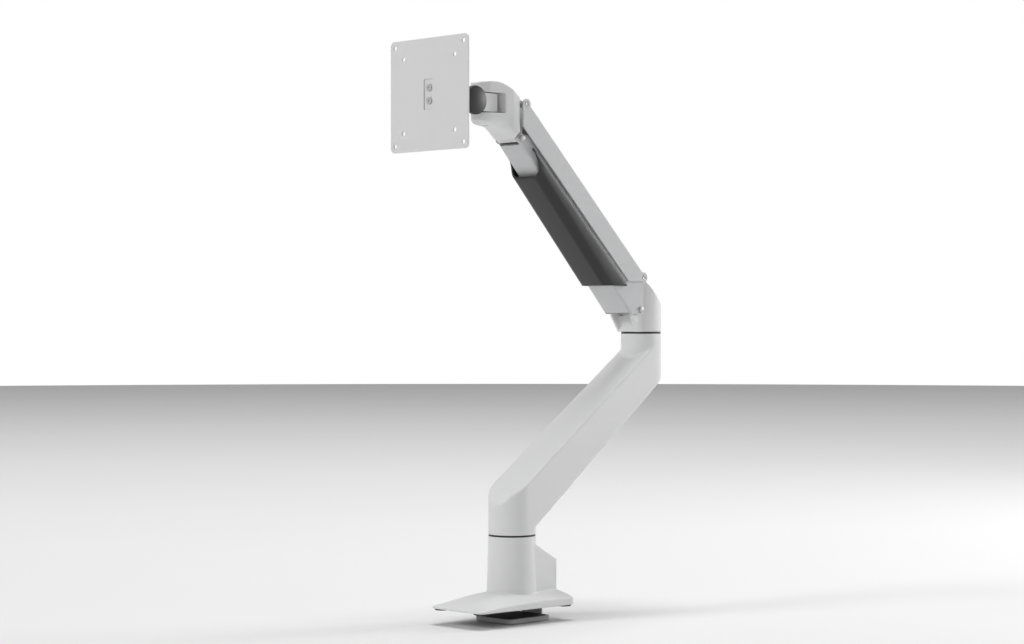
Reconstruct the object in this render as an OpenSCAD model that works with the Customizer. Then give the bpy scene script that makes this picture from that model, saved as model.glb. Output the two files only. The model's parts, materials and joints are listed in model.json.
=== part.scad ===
// Desk-clamp monitor arm: swivelling lower arm, gas-sprung parallelogram upper arm, tilting VESA head.
// Frame: +Z up, the plate faces -Y, the origin is on the base swivel axis at the desk surface.

/* [Base] */
// Reach of the base in front of the swivel axis
base_front = 81; // [70:1:95]
// Reach of the base behind the swivel axis
base_rear = 48; // [44:1:60]
// Width of the base at its front edge
base_front_w = 74; // [66:1:90]
// Width of the base at its rear edge
base_rear_w = 90; // [74:1:110]
// Height of the base's front edge, without the feet
base_lip_t = 2.6; // [2:0.1:5]
// Height of the base's rear side walls, without the feet
base_side_h = 7.6; // [5:0.1:11]
// Height of the top of the base at the foot of the column, without the feet
base_crown_h = 15; // [12:0.5:20]
// Corner radius of the base outline
base_corner_r = 5; // [2:0.5:8]
// Thickness of the rubber feet
foot_t = 1.2; // [0.8:0.1:3]
// Diameter of the rubber feet
foot_d = 15; // [8:0.5:18]

/* [Column] */
// Diameter of the column at its foot
column_foot_d = 53; // [50:0.5:60]
// Diameter of the lower swivel: column top, washer and foot of the lower arm
swivel_d = 49.4; // [42:0.2:50]
// Height of the column's top face above the desk
column_top = 73; // [66:1:100]
// Width of the fin behind the column
fin_w = 42; // [34:1:48]
// Distance from the swivel axis to the fin's rear face
fin_reach = 46; // [42:1:48]
// Height at which the sloping top of the fin leaves the column
fin_high = 65; // [58:1:66]
// Height at which the sloping top of the fin meets its rear face
fin_low = 45; // [36:1:52]
// Diameter of the base swivel post
post_d = 24; // [18:0.5:28]
// Thickness of the black swivel washers
washer_t = 2; // [1:0.1:4]
// Running clearance of a pivot, on the radius
run_gap = 0.06; // [0.02:0.01:0.1]
// Gap left between faces that slide past each other
side_gap = 0.4; // [0.3:0.05:0.8]

/* [Desk clamp] */
// Width of the clamp jaw
jaw_w = 54; // [44:1:70]
// Reach of the clamp jaw in front of the swivel axis
jaw_front = 29; // [20:1:50]
// Distance from the swivel axis to the rear face of the jaw's leg
jaw_rear = 31; // [30.5:0.5:32]
// Gap between the feet and the jaw's grip pad at rest
jaw_gap = 9; // [8:0.5:30]
// Sheet thickness of the jaw tray and its rim
jaw_t = 3; // [2:0.5:4]
// Height of the jaw's rim over the tray's underside
jaw_rim = 5; // [4:0.5:10]
// Width of the jaw's leg
leg_w = 28; // [20:1:30]
// Height of the jaw's leg above the tray's underside
leg_h = 52; // [50:1:54]
// Greatest desk thickness that the clamp opens to
desk_max = 48; // [30:1:50]
// Thread diameter of the clamp screw
clamp_screw_d = 8; // [6:0.5:8]

/* [Lower arm] */
// Distance between the base swivel and the elbow swivel
lower_reach = 200.4; // [180:0.2:260]
// Slope of the lower arm's top face, in degrees
lower_slope = 35.3; // [30:0.1:38]
// Slope of the lower arm's underside, in degrees
under_slope = 36.6; // [31:0.1:39]
// Height of the top face's line where it crosses the base swivel axis
lower_top_z = 129.2; // [122:0.2:145]
// Height of the underside's line where it crosses the base swivel axis
lower_under_z = 74.2; // [70:0.2:80]
// Height of the lower arm's upper face, under the elbow washer
elbow_face = 281.6; // [278:0.2:330]
// Diameter of the elbow: arm end, washer and knuckle
elbow_d = 44; // [38:0.2:47]
// Wall thickness of the lower arm casting
arm_wall = 4; // [3:0.5:6]
// Diameter of the elbow swivel post
elbow_post_d = 20; // [16:0.5:20]

/* [Upper arm] */
// Length of the parallelogram, from pivot to pivot
link_len = 252.6; // [225:0.2:300]
// Slope of the upper arm at rest, in degrees
lift = 44.2; // [42:0.1:45]
// Distance between the two pivots of a knuckle
pivot_step = 35; // [33:0.2:37]
// Backward lean of each pair of pivots, in degrees
pivot_lean = 4.6; // [3:0.1:6]
// Distance from the elbow swivel axis forward to the lower pivot
pivot_fore = 21.6; // [21:0.1:24]
// Height of the lower pivot above the lower arm's upper face
pivot_rise = 26.4; // [25:0.1:28]
// Diameter of the four pivot pins
pin_d = 6; // [5:0.5:6.5]
// Outer width of the channel at the elbow
channel_w = 38.4; // [36.8:0.2:38.4]
// Outer width of the channel at the head
channel_head_w = 32; // [31:0.2:33]
// Plate thickness of the channel and of the top link
plate_t = 2; // [1.5:0.1:2.2]
// Depth of the channel below the pivots at the elbow
channel_drop = 14.6; // [13:0.1:17]
// Depth of the channel below the pivots at the head
channel_head_drop = 5; // [4.5:0.1:8]
// Height of the channel's side plates above the pivots
channel_rise = 13; // [11:0.5:15]
// Outer width of the top link
link_w = 43.2; // [43.2:0.2:45]
// Depth of the top link's side plates below its pivots
link_drop = 20.3; // [18:0.1:21]
// Height of the top link's roof above its pivots
link_roof = 2.1; // [1.9:0.1:3]
// Radius of the ears round the top link's pivots
ear_r = 5.5; // [5:0.1:6]

/* [Cable cover] */
// Wall thickness of the cable cover
cover_t = 2; // [1.6:0.1:2.4]
// Room between the channel's underside and the cover's floor at the elbow
cover_room = 5.6; // [4:0.1:12]
// Room between the channel's underside and the cover's floor at the head
cover_head_room = 5; // [4:0.1:10]
// Height of the cover's upper edge above the lower pivots
cover_lip = 2.6; // [1:0.1:3]
// Distance from the elbow pivot to the cover, along the arm
cover_start = 30; // [26:1:60]
// Height of the cover's level end above the elbow's lower pivot
cover_cut = 25.4; // [24:0.2:40]
// Distance from the elbow pivot to the far end of the cover, along the arm
cover_end = 236; // [200:1:238]

/* [Gas spring] */
// Diameter of the gas spring's cylinder
gas_d = 20; // [16:0.5:20]
// Diameter of the gas spring's rod
rod_d = 8; // [6:0.5:9]
// Length of the gas spring's cylinder
gas_len = 130; // [110:1:140]
// Distance from the elbow pivot to the spring's pin, along the arm
gas_pin_u = 38; // [36:1:44]
// Height of the spring's anchor above the head's lower pivot
anchor_rise = 19; // [17:0.5:20]
// Diameter of the spring's pin and of its anchor
gas_pin_d = 6; // [5:0.5:7]
// Free play of the rod's eye round its anchor, on the radius
eye_play = 1.6; // [1.3:0.1:3.6]

/* [Head] */
// Width of the head knuckle
head_w = 38.6; // [38:0.1:38.9]
// Distance from the head's lower pivot forward to the pan axis
pan_fore = 37.7; // [35:0.1:40]
// Distance from the pan axis forward to the tilt axis
tilt_fore = 31; // [30:0.5:40]
// Radius of the fork's nose round the pan axis
fork_r = 14; // [13:0.5:15]
// Height of the slot that holds the pan block
slot_h = 20.6; // [18:0.2:24]
// Width of the pan block
pan_w = 21; // [16:0.5:22]
// Diameter of the pan bolt
pan_bolt_d = 8; // [6:0.5:10]
// Diameter of the tilt axle
axle_d = 8; // [6:0.5:10]
// Diameter of the tilt knob
knob_d = 29.4; // [24:0.2:32]
// Depth of the tilt knob
knob_t = 8; // [6:0.5:10]
// Plate thickness of the tilt bracket
bracket_t = 3.2; // [2.5:0.1:4]

/* [Monitor plate] */
// Side of the square monitor plate
plate_side = 113; // [110:1:136]
// Thickness of the monitor plate
plate_thick = 2.2; // [1.8:0.1:4]
// Distance from the tilt axis forward to the plate's front face
plate_fore = 47; // [45:0.5:60]
// Height of the plate's centre above the tilt axis
plate_up = 3.7; // [0:0.1:6]
// Corner radius of the monitor plate
plate_corner_r = 5; // [2:0.5:7]
// Larger square hole pattern
vesa_large = 100; // [100:100]
// Smaller square hole pattern
vesa_small = 75; // [75:75]
// Diameter of the plate's mounting holes
vesa_hole_d = 5; // [4.2:0.1:5.5]
// Distance between the two screws at the plate's centre
centre_pitch = 13; // [11:0.5:16]
// Diameter of the plate's spindle
spindle_d = 14; // [10:0.5:16]

/* [Hidden] */
$fn = 96;
eps = 0.01;
wide = 400;

white = "whitesmoke";
grey = "lightgray";
black = [0.12, 0.12, 0.13];
steel = "silver";

// places that several pieces share, as [y, z]
elbow_low = [lower_reach - pivot_fore, elbow_face + pivot_rise];
step = pivot_step * [sin(pivot_lean), cos(pivot_lean)];
elbow_top = elbow_low + step;
head_low = elbow_low + link_len * [-cos(lift), sin(lift)];
head_top = head_low + step;
pan_y = head_low[0] - pan_fore;
tilt_y = pan_y - tilt_fore;
tilt_z = head_low[1] + 34.4;
plate_front = tilt_y - plate_fore;
plate_z = tilt_z + plate_up;
knuckle_foot = elbow_face + washer_t;
arm_foot = column_top + washer_t;
crown_z = foot_t + base_crown_h;

// ---- shared shapes ----

// a round bar along X, centred on x = 0
module bar_x(d, length, at) {
  translate([0, at[0], at[1]]) rotate([0, 90, 0]) cylinder(d = d, h = length, center = true);
}

// a profile drawn in y and z, made solid along X
module along_x(width, x = 0) {
  translate([x - width / 2, 0, 0]) rotate([90, 0, 90]) linear_extrude(width) children();
}

// the arm's own directions: y' runs from the head to the elbow along the arm, z' is square to it
module along_arm(at = elbow_low) {
  translate([0, at[0], at[1]]) rotate([-lift, 0, 0]) children();
}

module rounded_box(size, r) {
  linear_extrude(size[2]) rounded_rect(size[0], size[1], r);
}

module rounded_rect(w, l, r) {
  square([w - 2 * r, l], center = true);
  square([w, l - 2 * r], center = true);
  for (sx = [-1, 1], sy = [-1, 1]) translate([sx * (w / 2 - r), sy * (l / 2 - r)]) circle(r);
}

// a strip along y that is 2 * r0 wide at its start and 2 * r1 at its end
module taper(r0, r1, length) {
  polygon([[r0, 0], [r1, length], [-r1, length], [-r0, 0]]);
}

module hex_nut(across, h) {
  cylinder(d = across / cos(30), h = h, $fn = 6);
}

// a machine screw that points down from z = 0, with a round head above
module screw(d, length, head_d, head_h, socket) {
  difference() {
    union() {
      translate([0, 0, -length]) cylinder(d = d, h = length + eps);
      cylinder(d = head_d, h = head_h);
    }
    translate([0, 0, head_h * 0.4]) hex_nut(socket, head_h);
  }
}

grub_d = 5;

// a headless screw with a hexagon socket in its upper end
module grub_screw(d, length) {
  difference() {
    cylinder(d = d, h = length);
    translate([0, 0, length * 0.6]) hex_nut(d / 2, length);
  }
}

// a pivot pin with a low round head outside each plate
module pivot_pin(at, grip_w, head_d, head_h) {
  bar_x(pin_d, grip_w + 2 * side_gap, at);
  for (s = [-1, 1]) translate([s * (grip_w / 2 + side_gap / 2), at[0], at[1]]) rotate([0, s * 90, 0]) {
    cylinder(d = head_d, h = head_h / 2);
    translate([0, 0, head_h / 2]) cylinder(d1 = head_d, d2 = head_d * 0.62, h = head_h / 2);
  }
}

// ---- base ----

module base_outline() {
  r = base_corner_r;
  fw = base_front_w / 2 - r;
  rw = base_rear_w / 2 - r;
  y0 = r - base_front;
  y1 = base_rear - r;
  lean = atan2(rw - fw, y1 - y0);
  side = r * [cos(lean), -sin(lean)];
  for (s = [-1, 1]) {
    translate([s * fw, y0]) circle(r);
    translate([s * rw, y1]) circle(r);
  }
  polygon([[-fw, y0 - r], [fw, y0 - r], [fw, y0] + side, [rw, y1] + side, [rw, y1 + r], [-rw, y1 + r],
           [-rw - side[0], y1 + side[1]], [-fw - side[0], y0 + side[1]]]);
}

// the base pad: thin at its front edge, rising to the foot of the column
module base_pad_body() {
  crown_w = column_foot_d * 0.9;
  shoulder_w = base_rear_w - 0.6;
  translate([0, 0, foot_t]) intersection() {
    linear_extrude(base_crown_h) base_outline();
    hull() {
      translate([-wide / 2, -base_front - 9, -5]) cube([wide, 9, 5 + base_lip_t]);
      translate([-shoulder_w / 2 - 1, 0, -5]) cube([shoulder_w + 2, base_rear + 9, 5 + base_side_h]);
      translate([-crown_w / 2, -column_foot_d * 0.4, -5]) cube([crown_w, column_foot_d * 0.4 + base_rear + 5,
                                                               5 + base_crown_h]);
      translate([-crown_w * 0.45, -base_front * 0.66, -5]) cube([crown_w * 0.9, 20, 5 + base_crown_h * 0.66]);
    }
  }
}

// front of the jaw's leg, and the place of the clamp screw behind it
leg_front = jaw_rear - jaw_t;
screw_y = jaw_rear + clamp_screw_d / 2 + 2.5;

// the fin from above: as wide as the column at its root
module fin_plan() {
  r = 5;
  polygon([[-swivel_d / 2 + 0.6, 3], [swivel_d / 2 - 0.6, 3],
           [fin_w / 2, fin_reach - r], [fin_w / 2 - r, fin_reach],
           [r - fin_w / 2, fin_reach], [-fin_w / 2, fin_reach - r]]);
  for (s = [-1, 1]) translate([s * (fin_w / 2 - r), fin_reach - r]) circle(r);
}

module fin() {
  intersection() {
    along_x(swivel_d) polygon([[0, foot_t + 2], [fin_reach, foot_t + 2], [fin_reach, fin_low],
                            [swivel_d / 2 - 1, fin_high], [0, fin_high]]);
    linear_extrude(column_top) fin_plan();
  }
}

module base_casting() {
  pocket_w = leg_w + 2 * side_gap;
  color(white) difference() {
    union() {
      base_pad_body();
      translate([0, 0, crown_z - 4])
        cylinder(d1 = column_foot_d, d2 = swivel_d, h = column_top - crown_z + 4);
      fin();
    }
    // seat of the swivel post
    translate([0, 0, 22]) cylinder(d = post_d, h = column_top);
    // pocket of the jaw's leg, open at the bottom
    translate([-pocket_w / 2, leg_front - side_gap, -eps])
      cube([pocket_w, jaw_t + 2 * side_gap, fin_low - 4]);
    // well of the clamp screw and its nut, reached from the fin's slope
    translate([-9, jaw_rear - eps, -eps]) cube([18, 2 * (screw_y - jaw_rear), fin_low - 12]);
    translate([0, screw_y, 0]) cylinder(d = clamp_screw_d + 2 * run_gap, h = column_top);
    translate([0, screw_y, fin_low - 5]) cylinder(d = clamp_screw_d * 1.6, h = column_top);
  }
}

foot_in = foot_d / 2 + 1;
foot_places = [for (sx = [-1, 1]) each [[sx * (base_front_w / 2 - foot_in), -base_front + foot_in],
                                       [sx * (base_rear_w / 2 - foot_in), base_rear - foot_in]]];

module foot_pads() {
  color(black) for (p = foot_places) translate([p[0], p[1], 0]) cylinder(d = foot_d, h = foot_t);
}

module grip_pad() {
  pad_front = base_front - foot_d - 8;
  pad_l = pad_front + leg_front - 4;
  color(black) translate([0, (leg_front - 4 - pad_front) / 2, 0]) rounded_box([jaw_w, pad_l, foot_t], 4);
}

module base_post() {
  color(steel) difference() {
    translate([0, 0, 22]) cylinder(d = post_d, h = 92);
    translate([0, 0, arm_foot + 14]) rotate_extrude() translate([post_d / 2 - 1, 0]) square([2, 6]);
  }
}

module base_washer() {
  color(black) translate([0, 0, column_top]) difference() {
    cylinder(d = swivel_d - 0.8, h = washer_t);
    translate([0, 0, -eps]) cylinder(d = post_d + 2 * run_gap, h = washer_t + 1);
  }
}

// ---- desk clamp ----

jaw_pad_t = 2.5;
jaw_bottom = -jaw_gap - jaw_pad_t - jaw_t;

module jaw_outline() {
  l = jaw_front + jaw_rear;
  translate([0, (jaw_rear - jaw_front) / 2]) rounded_rect(jaw_w, l, 6);
}

module clamp_jaw() {
  color(grey) {
    difference() {
      translate([0, 0, jaw_bottom]) linear_extrude(jaw_rim) jaw_outline();
      translate([0, 0, jaw_bottom + jaw_t]) linear_extrude(jaw_rim) offset_rect(-jaw_t);
    }
    translate([-leg_w / 2, leg_front, jaw_bottom]) cube([leg_w, jaw_t, leg_h]);
  }
}

module offset_rect(grow) {
  l = jaw_front + jaw_rear + 2 * grow;
  translate([0, (jaw_rear - jaw_front) / 2]) rounded_rect(jaw_w + 2 * grow, l, 6 + grow);
}

module jaw_pad() {
  color(black) translate([0, 0, jaw_bottom + jaw_t]) linear_extrude(jaw_pad_t) offset_rect(-jaw_t - side_gap);
}

// the nut that the clamp screw drives, fixed to the leg's back
nut_z = jaw_bottom + leg_h - 18;
module jaw_nut() {
  color(steel) difference() {
    translate([-8.4, jaw_rear, nut_z]) cube([16.8, 2 * (screw_y - jaw_rear) - side_gap, 12]);
    translate([0, screw_y, nut_z - 1]) cylinder(d = clamp_screw_d + 2 * run_gap, h = 14);
  }
}

module clamp_screw() {
  top = fin_low - 5;
  color(steel) translate([0, screw_y, 0]) difference() {
    union() {
      translate([0, 0, -jaw_gap]) cylinder(d = clamp_screw_d, h = top + jaw_gap + side_gap);
      translate([0, 0, top + side_gap / 2]) cylinder(d = clamp_screw_d * 1.5, h = 4);
    }
    translate([0, 0, top + 1.6]) hex_nut(clamp_screw_d * 0.6, 6);
  }
}

// ---- lower arm ----

function top_line(y) = lower_top_z + y * tan(lower_slope);
function under_line(y) = lower_under_z + y * tan(under_slope);

// the arm seen from the side
module lower_profile() {
  r0 = swivel_d / 2;
  r1 = elbow_d / 2;
  far = lower_reach + r1 + 5;
  nose = 7;
  nose_z = top_line(nose - r0);
  polygon([[-r0 - 5, arm_foot], [r0 + 5, arm_foot], [r0 + 5, under_line(r0 + 5)], [far, under_line(far)],
           [far, elbow_face], [lower_reach - r1 - 5, elbow_face], [lower_reach - r1 - 5, top_line(lower_reach - r1 - 5)],
           [nose - r0, nose_z], [1.6 - r0, nose_z - 6.5], [-r0 - 0.8, nose_z - 14], [-r0 - 5, nose_z - 14]]);
}

// the sloping part alone, between the two round ends
module beam_profile() {
  polygon([[0, under_line(0) - 5], [lower_reach, under_line(lower_reach) - 5],
           [lower_reach, top_line(lower_reach)], [0, top_line(0)]]);
}

post_top = arm_foot + 40;
elbow_post_foot = elbow_face - 30;
tray_from = 44;
tray_to = lower_reach - 34;

module tray_slot(from_y, to_y, w, deep) {
  along_x(w) polygon([[from_y, under_line(from_y) - 5], [to_y, under_line(to_y) - 5],
                      [to_y, under_line(to_y) + deep], [from_y, under_line(from_y) + deep]]);
}

module lower_arm() {
  hollow_w = elbow_d - 2 * arm_wall - 2;
  color(white) difference() {
    intersection() {
      union() {
        intersection() {
          linear_extrude(elbow_face) taper(swivel_d / 2 - 0.25, elbow_d / 2 - 0.25, lower_reach);
          along_x(wide) beam_profile();
        }
        cylinder(d = swivel_d, h = elbow_face);
        translate([0, lower_reach, 0]) cylinder(d = elbow_d, h = elbow_face);
      }
      along_x(wide) lower_profile();
    }
    // bore of the base bush
    translate([0, 0, arm_foot - 1]) cylinder(d = post_d + 6, h = post_top - arm_foot + 3);
    translate([0, 0, arm_foot + 17]) rotate([-90, 0, 0]) cylinder(d = grub_d, h = 40);
    // seat of the elbow post
    translate([0, lower_reach, elbow_post_foot]) cylinder(d = elbow_post_d, h = 60);
    // hollow of the arm, open below and closed by the tray
    tray_slot(tray_from, tray_to, hollow_w, 22);
  }
}

module arm_tray() {
  hollow_w = elbow_d - 2 * arm_wall - 2;
  color(white) difference() {
    tray_slot(tray_from + side_gap, tray_to - side_gap, hollow_w - 2 * side_gap, 8);
    along_x(wide) polygon([[0, under_line(0) - 20], [lower_reach, under_line(lower_reach) - 20],
                           [lower_reach, under_line(lower_reach)], [0, under_line(0)]]);
    tray_slot(tray_from + 3, tray_to - 3, hollow_w - 6, 30);
  }
}

module base_bush() {
  color(black) translate([0, 0, arm_foot]) difference() {
    cylinder(d = post_d + 6, h = post_top - arm_foot);
    translate([0, 0, -eps]) cylinder(d = post_d + 2 * run_gap, h = post_top);
    translate([0, 0, 17]) rotate([-90, 0, 0]) cylinder(d = grub_d, h = 40);
  }
}

module base_grub_screw() {
  color(steel) translate([0, post_d / 2 - 0.6, arm_foot + 17]) rotate([-90, 0, 0]) grub_screw(5, 12);
}

module elbow_post() {
  color(steel) difference() {
    translate([0, lower_reach, elbow_post_foot]) cylinder(d = elbow_post_d, h = 30 + washer_t + 24);
    translate([0, lower_reach, knuckle_foot + 9])
      rotate_extrude() translate([elbow_post_d / 2 - 1, 0]) square([2, 6]);
  }
}

module elbow_washer() {
  color(black) translate([0, lower_reach, elbow_face]) difference() {
    cylinder(d = elbow_d - 0.6, h = washer_t);
    translate([0, 0, -eps]) cylinder(d = elbow_post_d + 2 * run_gap, h = washer_t + 1);
  }
}

// ---- elbow knuckle ----

cheek_out = channel_w / 2 - plate_t - side_gap - 1.4;
cheek_t = 3;
shoulder = channel_w / 2 - plate_t - side_gap;
knuckle_top = elbow_top[1] + pin_d / 2 + 1.2;
bush_h = 25;
grub_rise = 12;

module knuckle_side() {
  back = lower_reach + elbow_d / 2 + 5;
  slope = 1.1;
  brow = elbow_low[0] + 9;
  polygon([[0, knuckle_foot], [back, knuckle_foot], [back, knuckle_top - slope * (back - brow)],
           [brow, knuckle_top], [0, knuckle_top]]);
}

module elbow_knuckle() {
  front = elbow_low[0];
  floor_h = 2.8;
  web_h = 18;
  tail_gap = 2;
  tail_w = elbow_d / 2 - shoulder + 2;
  color(white) difference() {
    intersection() {
      union() {
        translate([0, lower_reach, knuckle_foot]) cylinder(d = elbow_d, h = 80);
        // cheeks that carry the two pivots
        for (s = [-1, 1]) along_x(cheek_t, s * (cheek_out - cheek_t / 2))
          polygon([[front + 1, knuckle_foot - 1], [front - 11.5, knuckle_foot + 16.8],
                   [front - 11.5, knuckle_foot + 27], [elbow_top[0] - 8, elbow_top[1] - 5],
                   [elbow_top[0] - 6, knuckle_top + 2], [lower_reach, knuckle_top + 2],
                   [lower_reach, knuckle_foot - 1]]);
        // shoulders behind the channel's plates
        along_x(2 * shoulder) polygon([[front + 1.5, elbow_low[1] - 4], [front + 1.5, knuckle_top + 2],
                                       [lower_reach, knuckle_top + 2], [lower_reach, elbow_low[1] - 4]]);
        // floor and web between them
        along_x(2 * cheek_out - 1) polygon([[front + 1, knuckle_foot - 1], [front - 1, knuckle_foot + floor_h],
                                            [front - 0.5, knuckle_foot + floor_h], [front - 0.5, knuckle_foot + web_h],
                                            [lower_reach, knuckle_foot + web_h], [lower_reach, knuckle_foot - 1]]);
      }
      along_x(wide) knuckle_side();
    }
    // bore of the elbow bush
    translate([0, lower_reach, knuckle_foot - 1]) cylinder(d = elbow_post_d + 4, h = bush_h + 1);
    translate([0, lower_reach, knuckle_foot + grub_rise]) rotate([-90, 0, 0]) cylinder(d = grub_d, h = 40);
    // room for the tails of the channel and of the top link
    for (k = [-1, 1]) {
      along_x(tail_w, k * (shoulder + 0.1 + tail_w / 2)) {
        polygon([[front - 20, elbow_low[1] - 7], [front + 7.4, elbow_low[1] - 7],
                 [front + 7.4, knuckle_top + 5], [front - 20, knuckle_top + 5]]);
        translate(elbow_low) circle(ear_r + tail_gap);
      }
      bar_x_at(2 * (ear_r + tail_gap), tail_w, elbow_top, k * (channel_w / 2 + tail_w / 2));
    }
    bar_x(pin_d, wide, elbow_low);
    bar_x(pin_d, wide, elbow_top);
  }
}

module bar_x_at(d, length, at, x) {
  translate([x, 0, 0]) bar_x(d, length, at);
}

module elbow_bush() {
  color(black) translate([0, lower_reach, knuckle_foot]) difference() {
    cylinder(d = elbow_post_d + 4, h = bush_h);
    translate([0, 0, -1]) cylinder(d = elbow_post_d + 2 * run_gap, h = bush_h + 2);
    translate([0, 0, grub_rise]) rotate([-90, 0, 0]) cylinder(d = grub_d, h = 40);
  }
}

module elbow_grub_screw() {
  color(steel)
    translate([0, lower_reach + elbow_post_d / 2 - 0.6, knuckle_foot + grub_rise]) rotate([-90, 0, 0])
    grub_screw(grub_d, 10);
}

module elbow_low_pin() {
  color(steel) pivot_pin(elbow_low, channel_w, 6.8, 1.6);
}

module elbow_top_pin() {
  color(steel) bar_x(pin_d, link_w - 0.8, elbow_top);
}

// ---- upper arm ----

// one long side plate of the channel, seen from the side, q runs from the head to the elbow
module channel_plate() {
  polygon([[12, -channel_drop], [12, channel_rise + 4], [-18.4, channel_rise + 10.8], [-34, channel_rise + 3],
           [-44, channel_rise],
           [4 - link_len, channel_rise - 4], [-link_len, 5], [-link_len - 4.6, 2], [-link_len - 4.6, -3],
           [-link_len - 2, -channel_head_drop]]);
}

// the channel's body as a solid of full width, narrower and shallower towards the head
module channel_block(inset, floor_inset) {
  w0 = channel_w / 2 - inset;
  w1 = channel_head_w / 2 - inset;
  intersection() {
    linear_extrude(wide, center = true)
      polygon([[w0, 20], [w0, -20], [w1, 20 - link_len], [w1, -link_len - 20],
               [-w1, -link_len - 20], [-w1, 20 - link_len], [-w0, -20], [-w0, 20]]);
    translate([-wide / 2, 0, 0]) rotate([90, 0, 90]) linear_extrude(wide)
      polygon([[20, floor_inset - channel_drop], [20, 60], [-link_len - 20, 60],
               [-link_len - 20, floor_inset - channel_head_drop], [-link_len, floor_inset - channel_head_drop],
               [-12, floor_inset - channel_drop]]);
  }
}

module channel() {
  floor_w = channel_head_w - 2 * plate_t + 0.2;
  floor_back = 17.6;
  color(grey) difference() {
    along_arm() difference() {
      intersection() {
        channel_block(0, 0);
        translate([-wide / 2, 0, 0]) rotate([90, 0, 90]) linear_extrude(wide) channel_plate();
      }
      channel_block(plate_t, plate_t);
    }
    // the floor stops short of the head
    along_arm() translate([-floor_w / 2, -link_len - 20, -20]) cube([floor_w, 24.6, 20 - 1.5]);
    // room for the knuckle's cheeks, so that they pass the floor's end as the arm comes down
    bar_x(2 * floor_back, channel_w - 2 * plate_t + 0.2, elbow_low);
    // the elbow end is cut level below the pivot and upright behind it
    translate([-wide / 2, elbow_low[0] + 4.4, 0]) cube(wide + 200);
    translate([-wide / 2, -wide / 2, elbow_low[1] - 4.8 - wide]) cube([wide, 2 * wide, wide]);
    bar_x(pin_d + 2 * run_gap, wide, elbow_low);
    bar_x(pin_d + 2 * run_gap, wide, head_low);
    bar_x(gas_pin_d, wide, gas_pin);
  }
}

gas_pin = elbow_low + gas_pin_u * [-cos(lift), sin(lift)];
anchor = head_low + anchor_rise * [sin(pivot_lean), cos(pivot_lean)];
gas_tilt = atan2(anchor[1] - gas_pin[1], gas_pin[0] - anchor[0]);
gas_full = norm(anchor - gas_pin);

module spring_pin() {
  color(steel) bar_x(gas_pin_d, channel_w - 2 * plate_t + 2, gas_pin);
}

// the cover's room inside, or with grow its outside; over lengthens both ends
module cover_block(grow, over) {
  r = 7 + grow;
  half = channel_w / 2 + 0.2 + grow;
  low = channel_drop + cover_room + grow;
  high = channel_head_drop + 0.8 + cover_head_room + grow;
  slope = (low - high) / (cover_end - cover_start);
  hull() for (e = [[over - cover_start, low + slope * over], [-over - cover_end, high - slope * over]])
    translate([0, e[0], 0]) for (s = [-1, 1]) {
      translate([s * (half - r), 0, r - e[1]]) rotate([90, 0, 0]) cylinder(r = r, h = 0.1, $fn = 48);
      translate([s * (half - 0.5), -0.05, cover_lip - 0.5]) cube([1, 0.1, 1], center = true);
    }
}

module cable_cover() {
  mouth_r = 25;
  color(black) difference() {
    along_arm() difference() {
      cover_block(cover_t, 0);
      cover_block(0, 2);
      translate([-wide / 2, -wide, cover_lip - 0.2]) cube([wide, wide, wide]);
      // the cut round the head end, deepest on the underside
      translate([0, 4 - cover_end, -cover_room - 19]) rotate([0, 90, 0])
        cylinder(r = mouth_r, h = wide, center = true);
    }
    // the elbow end is cut level
    translate([-wide / 2, 0, 0]) cube([wide, wide, elbow_low[1] + cover_cut]);
  }
}

// a place in the top link's own directions: q along the arm from the elbow's upper pivot, n square to it
function link_at(q, n) = elbow_top + [q * cos(lift) + n * sin(lift), n * cos(lift) - q * sin(lift)];

// one side plate of the top link: level below the elbow's pivot, upright in front of the head's
module link_plate() {
  tail = 4.6;
  nose = head_top[0] - ear_r - 1;
  tail_q = (tail - link_drop * cos(lift)) / sin(lift);
  nose_top = link_at(0, link_roof);
  nose_low = link_at(0, -link_drop);
  difference() {
    union() {
      polygon([elbow_top + [1.5, -tail], link_at(1, link_roof), [nose, nose_top[1] + (nose_top[0] - nose) * tan(lift)],
               [nose, nose_low[1] + (nose_low[0] - nose) * tan(lift)], link_at(tail_q, -link_drop)]);
      for (at = [elbow_top, head_top]) translate(at) circle(ear_r);
    }
    for (at = [elbow_top, head_top]) translate(at) circle(d = pin_d + 2 * run_gap);
  }
}

module top_link() {
  roof_w = link_w - plate_t;
  elbow_clear = 15;
  head_clear = 22;
  color(grey) {
    for (s = [-1, 1]) along_x(plate_t, s * (link_w - plate_t) / 2) link_plate();
    // the roof stops short of both knuckles
    along_arm(elbow_top) translate([-roof_w / 2, head_clear - link_len, link_roof - plate_t])
      cube([roof_w, link_len - head_clear - elbow_clear, plate_t]);
  }
}

// ---- gas spring ----

module along_spring() {
  translate([0, gas_pin[0], gas_pin[1]]) rotate([-gas_tilt, 0, 0]) children();
}

module gas_cylinder() {
  color(black) difference() {
    along_spring() {
      rotate([0, 90, 0]) cylinder(d = gas_pin_d + 8, h = 12, center = true);
      translate([0, -3, 0]) rotate([90, 0, 0]) cylinder(d = 10, h = 12);
      translate([0, -12, 0]) rotate([90, 0, 0]) cylinder(d = gas_d, h = gas_len);
    }
    bar_x(gas_pin_d + 2 * run_gap, wide, gas_pin);
    along_spring() translate([0, -20, 0]) rotate([90, 0, 0]) cylinder(d = rod_d + 2 * run_gap, h = gas_len);
  }
}

module gas_rod() {
  eye_r = gas_pin_d / 2 + eye_play;
  hidden = 22;
  color(steel) difference() {
    union() {
      along_spring() translate([0, hidden - gas_len, 0]) rotate([90, 0, 0])
        cylinder(d = rod_d, h = gas_full - gas_len + hidden - eye_r - 1);
      bar_x(2 * eye_r + 5, rod_d + 1, anchor);
    }
    bar_x(2 * eye_r, wide, anchor);
  }
}

// ---- head knuckle ----

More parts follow.
